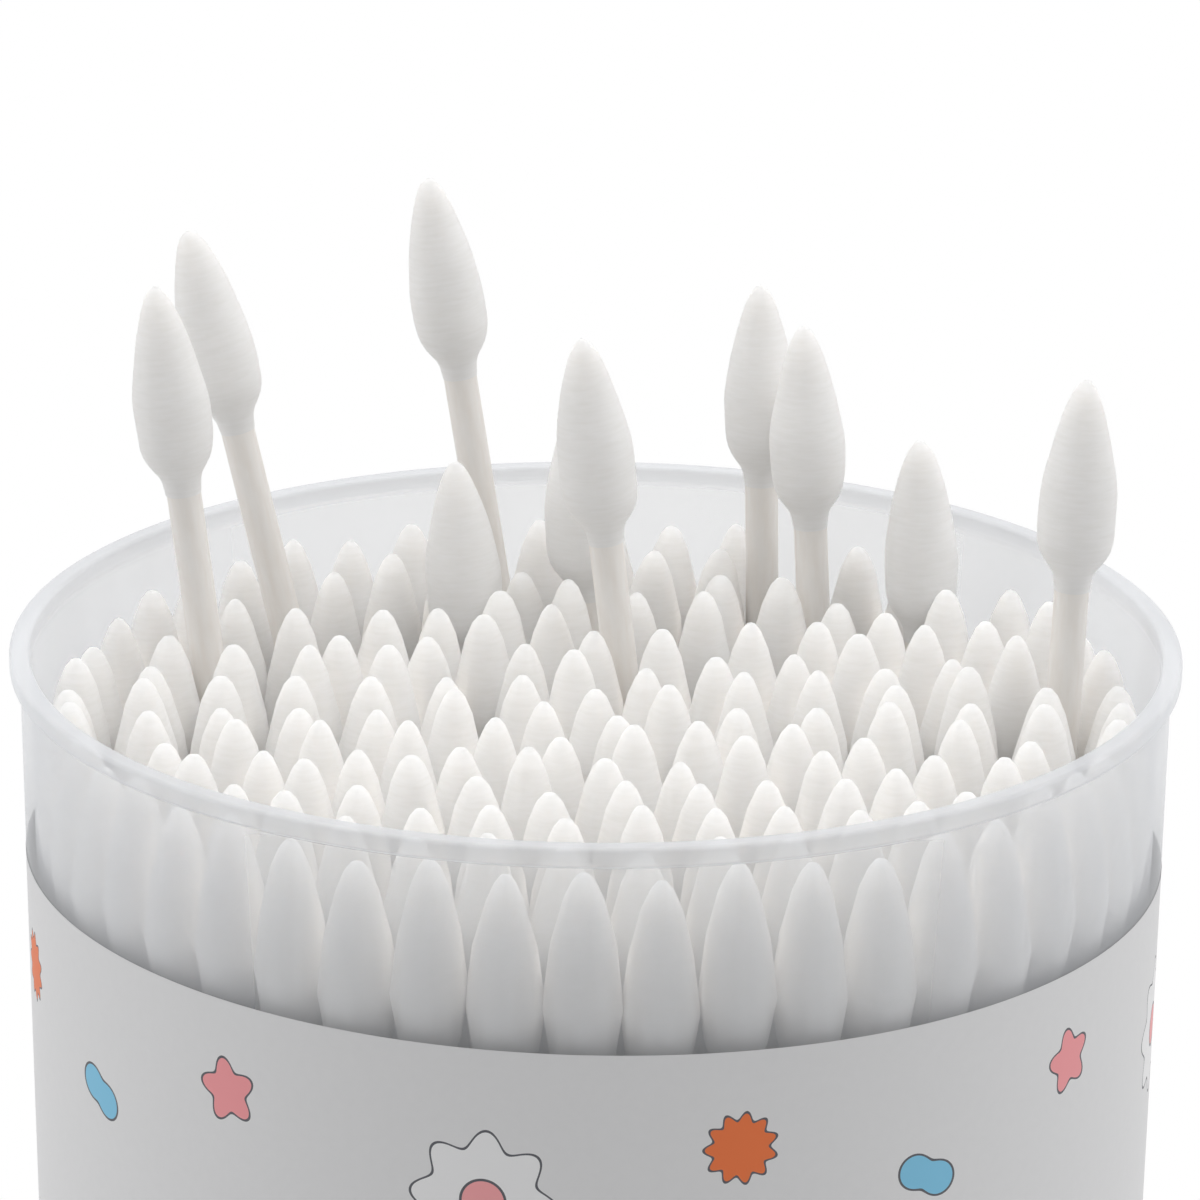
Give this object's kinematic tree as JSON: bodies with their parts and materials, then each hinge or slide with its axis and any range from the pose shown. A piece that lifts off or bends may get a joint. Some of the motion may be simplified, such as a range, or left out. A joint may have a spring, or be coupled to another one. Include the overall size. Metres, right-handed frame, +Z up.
{
  "type": "cotton swab tub",
  "caption": "Open round tub of frosted plastic with a paper wrap, packed with upright double-ended cotton swabs, some of them pulled up out of the bed.",
  "frame": {"origin": "centre of the underside of the tub", "axes": "+Z up along the tub's axis, -Y towards the front that the picture shows"},
  "size_m": [0.076, 0.076, 0.1012],
  "materials": {
    "frosted_polypropylene": "injection-moulded translucent polypropylene with a fine frosted surface",
    "label_paper": "matt coated white paper, printed",
    "stick_paper": "tightly rolled uncoated paper",
    "cotton": "bleached wound cotton"
  },
  "bodies": {
    "root": {"tub": "frosted_polypropylene", "label": "label_paper", "packed_swabs_ring_1": "cotton", "packed_swabs_ring_2": "cotton", "packed_swabs_ring_3": "cotton", "packed_swabs_ring_4": "cotton", "packed_swabs_ring_5": "cotton", "packed_swabs_ring_6": "cotton", "packed_swabs_ring_7": "cotton", "packed_swabs_ring_8": "cotton", "raised_stick_1": "stick_paper", "raised_upper_bud_1": "cotton", "raised_lower_bud_1": "cotton", "raised_stick_2": "stick_paper", "raised_upper_bud_2": "cotton", "raised_lower_bud_2": "cotton", "raised_stick_3": "stick_paper", "raised_upper_bud_3": "cotton", "raised_lower_bud_3": "cotton", "raised_stick_4": "stick_paper", "raised_upper_bud_4": "cotton", "raised_lower_bud_4": "cotton", "raised_stick_5": "stick_paper", "raised_upper_bud_5": "cotton", "raised_lower_bud_5": "cotton", "raised_stick_6": "stick_paper", "raised_upper_bud_6": "cotton", "raised_lower_bud_6": "cotton", "raised_stick_7": "stick_paper", "raised_upper_bud_7": "cotton", "raised_lower_bud_7": "cotton", "raised_stick_8": "stick_paper", "raised_upper_bud_8": "cotton", "raised_lower_bud_8": "cotton", "raised_stick_9": "stick_paper", "raised_upper_bud_9": "cotton", "raised_lower_bud_9": "cotton", "raised_stick_10": "stick_paper", "raised_upper_bud_10": "cotton", "raised_lower_bud_10": "cotton"}
  },
  "joints": []
}
